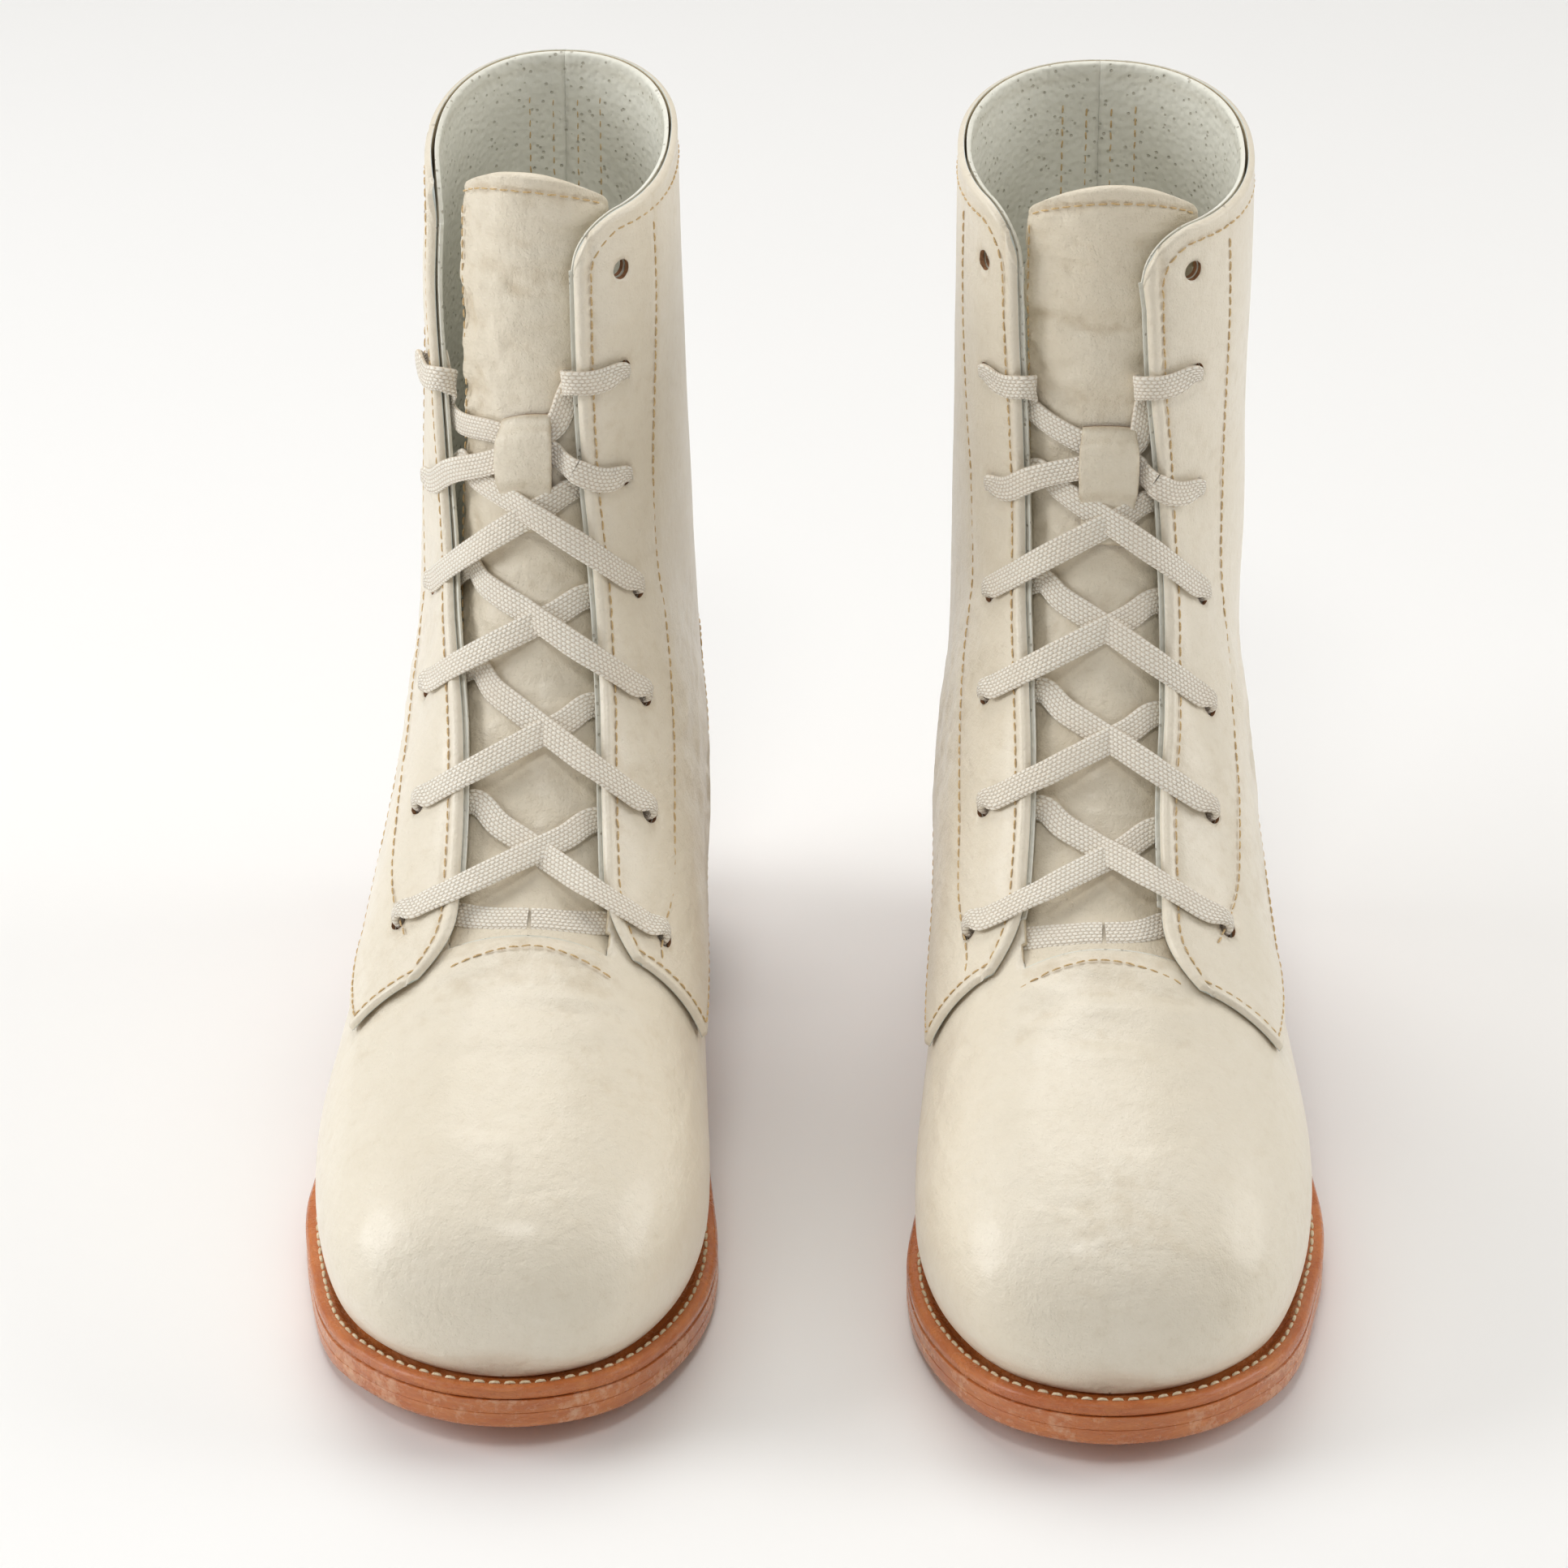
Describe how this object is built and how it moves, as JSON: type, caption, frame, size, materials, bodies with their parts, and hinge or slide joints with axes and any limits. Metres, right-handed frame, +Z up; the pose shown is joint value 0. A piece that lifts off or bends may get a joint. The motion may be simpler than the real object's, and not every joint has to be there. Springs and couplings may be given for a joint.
{
  "type": "lace-up boots",
  "caption": "Pair of high lace-up derby boots: smooth cream leather uppers, flat cotton laces, and welted natural-tan leather soles on low stacked heels.",
  "frame": {"origin": "centre of the pair's bounding box, on the ground plane", "axes": "+Z up, toes towards -Y, +X towards the left boot's outer side; the right boot stands at -X"},
  "size_m": [0.2498, 0.2752, 0.2522],
  "materials": {
    "upper_leather": "smooth cream full-grain leather, slight sheen",
    "tongue_leather": "the same cream leather, unlined and softly wrinkled",
    "lining_leather": "pale grey-green glove leather, matt",
    "sole_leather": "vegetable-tanned leather, waxed edges",
    "welt_leather": "vegetable-tanned leather, waxed and polished",
    "heel_leather": "stacked leather, waxed edges",
    "heel_rubber": "matt moulded rubber",
    "insole_leather": "undyed leather board",
    "cork": "granulated cork filler",
    "spring_steel": "rolled strip",
    "stiffener": "pressed leather board",
    "lace_cotton": "flat braided cotton",
    "lace_tip": "shrunk film over the braid"
  },
  "bodies": {
    "right_boot": {"right_outsole": "sole_leather", "right_midsole": "sole_leather", "right_welt": "welt_leather", "right_cork_filler": "cork", "right_shank": "spring_steel", "right_insole": "insole_leather", "right_sock_lining": "lining_leather", "right_heel_lift_1": "heel_leather", "right_heel_lift_2": "heel_leather", "right_heel_lift_3": "heel_leather", "right_heel_top_piece": "heel_rubber", "right_vamp": "upper_leather", "right_toe_puff": "stiffener", "right_vamp_lining": "lining_leather", "right_heel_cover": "upper_leather", "right_heel_counter": "stiffener", "right_counter_lining": "lining_leather", "right_quarter_medial": "upper_leather", "right_quarter_lining_medial": "lining_leather", "right_quarter_lateral": "upper_leather", "right_quarter_lining_lateral": "lining_leather", "right_lace": "lace_cotton", "right_lace_tip_medial": "lace_tip", "right_lace_tip_lateral": "lace_tip"},
    "right_tongue": {"right_tongue": "tongue_leather", "right_tongue_keeper": "tongue_leather"},
    "left_boot": {"left_outsole": "sole_leather", "left_midsole": "sole_leather", "left_welt": "welt_leather", "left_cork_filler": "cork", "left_shank": "spring_steel", "left_insole": "insole_leather", "left_sock_lining": "lining_leather", "left_heel_lift_1": "heel_leather", "left_heel_lift_2": "heel_leather", "left_heel_lift_3": "heel_leather", "left_heel_top_piece": "heel_rubber", "left_vamp": "upper_leather", "left_toe_puff": "stiffener", "left_vamp_lining": "lining_leather", "left_heel_cover": "upper_leather", "left_heel_counter": "stiffener", "left_counter_lining": "lining_leather", "left_quarter_medial": "upper_leather", "left_quarter_lining_medial": "lining_leather", "left_quarter_lateral": "upper_leather", "left_quarter_lining_lateral": "lining_leather", "left_lace": "lace_cotton", "left_lace_tip_medial": "lace_tip", "left_lace_tip_lateral": "lace_tip"},
    "left_tongue": {"left_tongue": "tongue_leather", "left_tongue_keeper": "tongue_leather"}
  },
  "joints": [
    {"name": "left_boot_apart", "type": "slide", "parent": "right_boot", "child": "left_boot", "axis": [1, 0, 0], "range_m": [0, 0.12]},
    {"name": "right_tongue_tilt", "type": "hinge", "parent": "right_boot", "child": "right_tongue", "pos_m": [-0.0696, -0.0415, 0.08], "axis": [-0.9991, 0.042, 0], "range_deg": [0, 4], "deforming": ["right_lace"]},
    {"name": "left_tongue_tilt", "type": "hinge", "parent": "left_boot", "child": "left_tongue", "pos_m": [0.0697, -0.0475, 0.08], "axis": [-0.9999, 0.014, 0], "range_deg": [0, 4], "deforming": ["left_lace"]}
  ]
}
